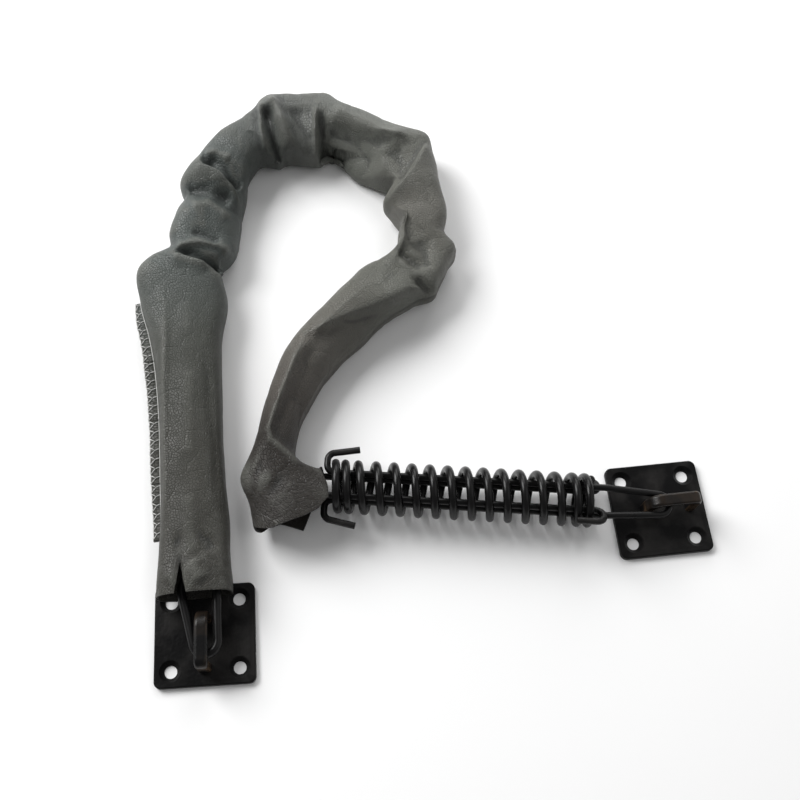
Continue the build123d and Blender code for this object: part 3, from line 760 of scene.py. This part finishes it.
# the outside as rings of points, each ring's distance run and rail, and each point's share in
# the folds of the upper side
def tubeGrid():
    run, rails = sleeveRails()
    rings = int(run[-1] / sleeve["ringStep"])
    wanted = np.linspace(0, run[-1], rings)
    rail = smoothThrough(run, rails, wanted)
    turns = np.linspace(0, 2 * math.pi, sleeve["around"], endpoint=False)
    turns = turns - sleeve["cornerPack"] * np.sin(4 * turns)
    cosine, sine = np.cos(turns), np.sin(turns)
    grid = np.zeros((rings, sleeve["around"], 3))
    upper = np.zeros((rings, sleeve["around"]))
    for ring in range(rings):
        x, y, heading, left, right, low, high, square, station = rail[ring]
        reach = np.where(cosine > 0, left, right)
        aside = reach * np.sign(cosine) * np.abs(cosine) ** (2 / square)
        power = np.where(sine > 0, 2 / square, 2 / (square + sleeve["underSquare"]))
        middle, rise = (low + high) / 2, (high - low) / 2
        height = middle + rise * np.sign(sine) * np.abs(sine) ** power
        grid[ring, :, 0] = x - aside * math.sin(heading)
        grid[ring, :, 1] = y + aside * math.cos(heading)
        grid[ring, :, 2] = height
        upper[ring] = ease(np.clip((height - middle) / (sleeve["upperShare"] * rise), 0, 1))
        raised = np.clip((height - low) / (high - low), 0, 1)
        for begins, opens, closes, ends, crease, fall, side in sleeve["slopes"]:
            amount = np.interp(station, [begins, opens, closes, ends], [0, 1, 1, 0])
            room = crease + right if side > 0 else left - crease
            beyond = np.clip((crease - aside) * side / room, 0, 1)
            grid[ring, :, 2] -= amount * fall * beyond * raised
    tearNotch(grid, upper, wanted)
    drawLip(grid, upper, wanted, rail)
    return wanted, rail, grid, upper


# the torn notch beside the first link pulls the upper edge back
def tearNotch(grid, upper, wanted):
    middle, half, depth = sleeve["notch"]
    pull = np.clip(1 - np.abs(grid[0, :, 0] - middle) / half, 0, 1) * depth * (upper[0] > 0.5)
    fade = np.clip(1 - wanted / sleeve["notchFade"], 0, 1)
    grid[:, :, 1] += fade[:, None] * pull[None, :]


# the lip at the spring, drawn out and sunk a little over the drawbar, and the flap below it
def drawLip(grid, upper, wanted, rail):
    heading = rail[-1, 2]
    ahead = np.array((math.cos(heading), math.sin(heading)))
    aside = np.array((-math.sin(heading), math.cos(heading)))
    across = (grid[-1, :, :2] - rail[-1, :2]) @ aside
    whole, none = sleeve["flapHeights"]
    lower = np.clip((none - grid[-1, :, 2]) / (none - whole), 0, 1)
    reach = np.interp(across, *zip(*sleeve["lip"])) * upper[-1]
    reach += np.interp(across, *zip(*sleeve["flap"])) * lower
    fade = ease(np.clip(1 - (wanted[-1] - wanted) / sleeve["lipFade"], 0, 1))
    sunk = upper[-1] * reach / sleeve["lipReach"] * sleeve["lipSink"]
    grid[:, :, :2] += fade[:, None, None] * reach[None, :, None] * ahead
    grid[:, :, 2] -= (fade ** 2)[:, None] * sunk[None, :]


# outward directions
def ringNormals(grid):
    ahead = np.gradient(grid, axis=0)
    around = np.roll(grid, -1, axis=1) - np.roll(grid, 1, axis=1)
    normal = np.cross(around, ahead)
    return normal / np.maximum(np.linalg.norm(normal, axis=2), 1e-9)[:, :, None]


buckles = {
    # distance run along the sleeve, and how much it buckles there
    "busy": [(0, 0.9), (25, 0.5), (60, 0.3), (130, 0.35), (155, 1), (380, 1), (420, 0.5),
             (480, 0.4), (520, 0.8)],
    "broad": (13.0, 0.7),            # size and height
    "crease": (17.0, 0.26, 0.16),    # size, depth, and the noise that counts as a crease
    "creasePlace": (9, 3, 1),
    "small": (3.4, 0.07),
}


# small buckles in the vinyl, more round the arch than on the straight run
def crumple(grid, wanted):
    normal = ringNormals(grid)
    busy = np.interp(wanted, *zip(*buckles["busy"]))
    broadSize, broadHeight = buckles["broad"]
    creaseSize, creaseDepth, creaseNoise = buckles["crease"]
    smallSize, smallHeight = buckles["small"]
    place = Vector(buckles["creasePlace"])
    for ring, column in np.ndindex(grid.shape[:2]):
        point = Vector(grid[ring, column])
        crease = creaseNoise - abs(noise.noise(point / creaseSize + place))
        amount = (broadHeight * noise.noise(point / broadSize)
                  - creaseDepth * max(0.0, crease) / creaseNoise
                  + smallHeight * noise.noise(point / smallSize))
        grid[ring, column] += normal[ring, column] * busy[ring] * amount
    grid[:, :, 2] = np.maximum(grid[:, :, 2], 0.0)
    return grid


# lifts the upper side off the links, over each one's centre line and to both sides
def clearChain(grid):
    pivots = chainPivots()
    plan, height = grid[:, :, :2].reshape(-1, 2), grid[:, :, 2].reshape(-1)
    turned = np.arange(sleeve["around"])
    above = np.tile((turned > 0) & (turned < sleeve["around"] / 2), len(grid))
    for index in range(len(pivots) - 1):
        start, end = pivots[index], pivots[index + 1]
        way = (end - start) / np.linalg.norm(end - start)
        run = np.clip((plan - start) @ way, 0, np.linalg.norm(end - start))
        aside = np.linalg.norm(plan - start - run[:, None] * way, axis=1)
        reach, rise = sleeve["clearance"][index % 2]
        needed = sleeve["bendHeight"] + rise * np.sqrt(np.clip(1 - (aside / reach) ** 2, 0, 1))
        over = above & (aside < reach)
        gap = height[over] - needed[over]
        height[over] = needed[over] + (gap + np.sqrt(gap**2 + sleeve["clearSoft"] ** 2)) / 2
    grid[:, :, 2] = height.reshape(grid.shape[:2])
    return grid


# how strongly each point stands out as a ridge, or lies in a valley below zero; it sets the painted
# highlight on ridges and the painted shade in valleys, in full only where the surface faces up
def bendOf(grid, normal):
    rows = np.arange(len(grid))
    total = np.zeros(grid.shape[:2])
    for reach, scale in sleeve["bendReaches"]:
        before, after = np.maximum(rows - reach, 0), np.minimum(rows + reach, len(grid) - 1)
        mean = (grid[before] + grid[after] + np.roll(grid, reach, 1) + np.roll(grid, -reach, 1)) / 4
        total += np.einsum("ijk,ijk->ij", grid - mean, normal) / scale
    facing = np.clip(normal[:, :, 2] / sleeve["bendFacing"], 0, 1)
    return np.clip(total / len(sleeve["bendReaches"]), -1, 1) * facing


# evens out all but the end rings
def relax(grid):
    inner = (np.roll(grid, 1, axis=1) + np.roll(grid, -1, axis=1) + grid * 2) / 4
    inner[1:-1] = (inner[1:-1] * 2 + grid[:-2] + grid[2:]) / 4
    inner[0], inner[-1] = grid[0], grid[-1]
    return inner


# the tube folded, pulled, evened, buckled, and then clear of the links
def sleeveSkin():
    wanted, rail, grid, upper = tubeGrid()
    flat = pressFolds(grid.reshape(-1, 3), upper.reshape(-1))
    grid = pullOutline(flat).reshape(grid.shape)
    grid = clearChain(crumple(relax(grid), wanted))
    return wanted, rail, grid


# bakes the transform of a piece between two neighbouring links, or the last link and the drawbar,
# into its mesh
def blendStretch(piece):
    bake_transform(piece)


# one stretch of the tube over each joint, from the middle of one link to that of the next
def addSleeve(paint, threadCoat):
    wanted, rail, outer = sleeveSkin()
    extra = addSeam(wanted, rail, paint, threadCoat)
    normal = ringNormals(outer)
    bend = bendOf(outer, normal)
    inner = outer - normal * sleeve["wall"]
    inner[:, :, 2] = np.maximum(inner[:, :, 2], sleeve["innerFloor"])
    station = rail[:, -1]
    girth = np.cumsum(np.linalg.norm(np.diff(outer, axis=1, append=outer[:, :1]), axis=2), axis=1)
    around = sleeve["around"]
    marks = [0]
    marks += [int(np.argmin(np.abs(station - (index + 0.5)))) for index in range(1, linkCount)]
    marks += [len(wanted) - 1]
    for index in range(1, linkCount + 1):
        first, last = marks[index - 1], marks[index]
        rows = last - first + 1
        part = slice(first, last + 1)
        points = np.vstack([outer[part].reshape(-1, 3), inner[part].reshape(-1, 3)])
        offset = rows * around
        near = (rows - 1) * around
        faces = gridFaces(rows, around) + gridFaces(rows, around, offset, flip=True)
        for column in range(around):
            beside = (column + 1) % around
            far, farBeside = near + column, near + beside
            faces.append((column, offset + column, offset + beside, beside))
            faces.append((far, farBeside, offset + farBeside, offset + far))
        normals = np.vstack([normal[part].reshape(-1, 3), -normal[part].reshape(-1, 3)])
        along = np.repeat(wanted[part], around)
        cloth = np.stack([girth[part].reshape(-1), along], axis=1) * mm
        cloth = np.vstack([cloth, cloth + sleeve["insideMap"]])
        bends = bend[part].reshape(-1)
        bends = np.concatenate([bends, np.zeros(len(bends))])
        name = "sleeveStretch%02d" % index
        piece = meshPiece(name, points, faces, paint, normals, cloth, bends)
        blendStretch(piece)
    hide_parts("sleeve")


# Seam: two plies sewn flat beside the straight run, oversewn with light thread (mm)

seam = {
    "stretches": (1, 4),     # the first and last stretch of the sleeve that carry it
    "height": 9.0,
    "ply": 1.0,
    "root": 2.5,             # inside the tube's side
    # place along the chain in links, and how far the seam stands out there
    "reach": [(0.62, 3.2), (1.6, 4.4), (2.5, 4.8), (3.4, 5.0), (4.2, 4.4), (4.5, 2.6)],
    "droop": 0.8,
    "waves": [(0.35, 7.0, 0.0), (0.25, 3.1, 1.0)],       # height, length, shift of the edge
    "step": 0.8,
    # the section's upper half: share of the way out to the edge, height in plies
    "profile": [(0.0, 1.0), (0.5, 1.0), (0.84, 0.98), (0.95, 0.8), (1.0, 0.5), (0.95, 0.06)],
    "clothPlace": (0.4, 0.0012),     # metres: its place on the flat cloth, a point of the section
    "stitch": 4.05,          # along the seam
    "thread": 0.23,          # radius
    "threadSides": 6,
    "threadEnd": 0.55,       # of the radius at a thread's ends
    "threadUp": (0.11, 0.07, 1.0),       # a direction that no thread follows
    "needleInset": 0.07,     # share of the way out
    "needleWave": 0.06,
    "edgeLine": (0.97, 0.03, 0.62),      # share of the way out, its wave, share of the lift
    "foot": 0.86,            # of a pitch, where a stitch goes through
    # threads of one stitch: pitches from its foot, share of the way out, share of the lift
    # and what is added to it
    "stitches": [
        [(0, 0.07, 1, 0), (-0.06, 0.27, 1, 0.05), (-0.16, 0.52, 1, 0.12)],
        [(-0.16, 0.52, 1, 0.12), (0.02, 0.75, 1, 0), (0.12, 0.93, 0.95, 0), (0.13, 1.03, 0, 0)],
        [(-0.16, 0.52, 1, 0.12), (-0.38, 0.7, 1, 0), (-0.62, 0.92, 0.95, 0), (-0.66, 1.03, 0, 0)],
    ],
}


# at even steps along the seam: distance run, centre, side direction, the tube's side, reach
# and the wave of the edge
def seamRails(wanted, rail):
    station = rail[:, -1]
    start, end = np.interp([seam["reach"][0][0], seam["reach"][-1][0]], station, wanted)
    run = np.linspace(start, end, int((end - start) / seam["step"]) + 1)
    x, y, heading, left = (np.interp(run, wanted, rail[:, column]) for column in range(4))
    reach = np.interp(np.interp(run, wanted, station), *zip(*seam["reach"]))
    side = np.stack([-np.sin(heading), np.cos(heading), np.zeros(len(run))], axis=1)
    centre = np.stack([x, y, np.full(len(run), seam["height"])], axis=1)
    wave = sum(high * np.sin(run / length + shift) for high, length, shift in seam["waves"])
    return run, centre, side, left, reach, wave


# a point at a distance along the seam, a share of the way from the tube's side to the edge
def seamPoint(rails, at, share, above):
    run, centre, side, left, reach, wave = rails
    middle = np.array([np.interp(at, run, centre[:, column]) for column in range(3)])
    way = np.array([np.interp(at, run, side[:, column]) for column in range(3)])
    out = np.interp(at, run, left) + share * np.interp(at, run, reach)
    drop = share * (np.interp(at, run, wave) - seam["droop"])
    return middle + out * way + np.array((0, 0, drop + above))


def endCaps(rows, columns):
    last = (rows - 1) * columns
    return [tuple(range(columns)), tuple(range(last, last + columns))[::-1]]


def threadTube(path):
    path = np.asarray(path, float)
    tangent = np.gradient(path, axis=0)
    tangent /= np.linalg.norm(tangent, axis=1)[:, None]
    aside = np.cross(tangent, seam["threadUp"])
    aside /= np.linalg.norm(aside, axis=1)[:, None]
    above = np.cross(aside, tangent)
    sides = seam["threadSides"]
    points = []
    for index, place in enumerate(path):
        share = seam["threadEnd"] if index in (0, len(path) - 1) else 1.0
        for turn in np.linspace(0, 2 * math.pi, sides, endpoint=False):
            out = math.cos(turn) * aside[index] + math.sin(turn) * above[index]
            points.append(place + seam["thread"] * share * out)
    return points, gridFaces(len(path), sides, flip=True) + endCaps(len(path), sides)


# threads of the overlock seam between two distances along it, on both faces
def stitchPaths(rails, start, end):
    lift = seam["ply"] + seam["thread"] * 0.5
    edge, edgeWave, edgeLift = seam["edgeLine"]
    count = int(round((end - start) / seam["stitch"]))
    pitch = (end - start) / count
    along = np.linspace(start, end, count * 4 + 1)
    waves = 2 * math.pi * along / pitch
    paths = []
    for face in (1, -1):
        paths.append([seamPoint(rails, at, seam["needleInset"],
                                face * (lift + seam["needleWave"] * math.cos(wave)))
                      for at, wave in zip(along, waves)])
        paths.append([seamPoint(rails, at, edge + edgeWave * math.sin(wave), face * lift * edgeLift)
                      for at, wave in zip(along, waves)])
        for index in range(count):
            foot = start + (index + seam["foot"]) * pitch
            for line in seam["stitches"]:
                paths.append([seamPoint(rails, foot + ahead * pitch, share,
                                        face * (lift * rise + extra))
                              for ahead, share, rise, extra in line])
    return paths


def addSeam(wanted, rail, paint, threadCoat):
    rails = seamRails(wanted, rail)
    profile = [(share, height * seam["ply"]) for share, height in seam["profile"]]
    profile += [(share, -height) for share, height in profile[::-1]]
    place, step = seam["clothPlace"]
    begins, stops = seam["reach"][0][0], seam["reach"][-1][0]
    first, last = seam["stretches"]
    extra = {}
    for index in range(first, last + 1):
        ends = [max(index - 0.5, begins), min(index + 0.5, stops)]
        start, end = np.interp(ends, rail[:, -1], wanted)
        marks = np.linspace(start, end, int((end - start) / seam["step"]) + 1)
        points, cloth = [], []
        for at in marks:
            root = -seam["root"] / np.interp(at, rails[0], rails[4])
            for column, (share, height) in enumerate(profile):
                points.append(seamPoint(rails, at, share or root, height))
                cloth.append((place + column * step, at * mm))
        faces = gridFaces(len(marks), len(profile), flip=True) + endCaps(len(marks), len(profile))
        flange = meshPiece("seamFlange%02d" % index, points, faces, paint, cloth=cloth)
        points, faces = [], []
        for path in stitchPaths(rails, start, end):
            more, sides = threadTube(path)
            faces += [tuple(corner + len(points) for corner in face) for face in sides]
            points += more
        stitching = meshPiece("seamThread%02d" % index, points, faces, threadCoat)
        extra[index] = [flange, stitching]
        for piece in extra[index]:
            blendStretch(piece)
    print("seam sewn:", len(extra), "stretches")
    return extra


# Coats of the CAD nodes: the links and drawbars carry the plain wire's

nodeCoats = {
    "left_plate": "plateCoat",
    "right_plate": "plateCoat",
    "left_eye": "eyeCoat",
    "right_eye": "eyeCoat",
}


def paintNodes(coats):
    for name, node in frame["nodes"].items():
        node.data.materials.clear()
        node.data.materials.append(coats[nodeCoats.get(name, "wireCoat")])
    print("CAD nodes painted:", len(frame["nodes"]))


addCamera()
addStudio()
coats = {name: blackCoat(name) for name in coat["finishes"]}
paintNodes(coats)
addSpring(coats["springCoat"])
addSleeve(vinylPaint(), threadPaint())
scene.view_settings.view_transform = "Standard"
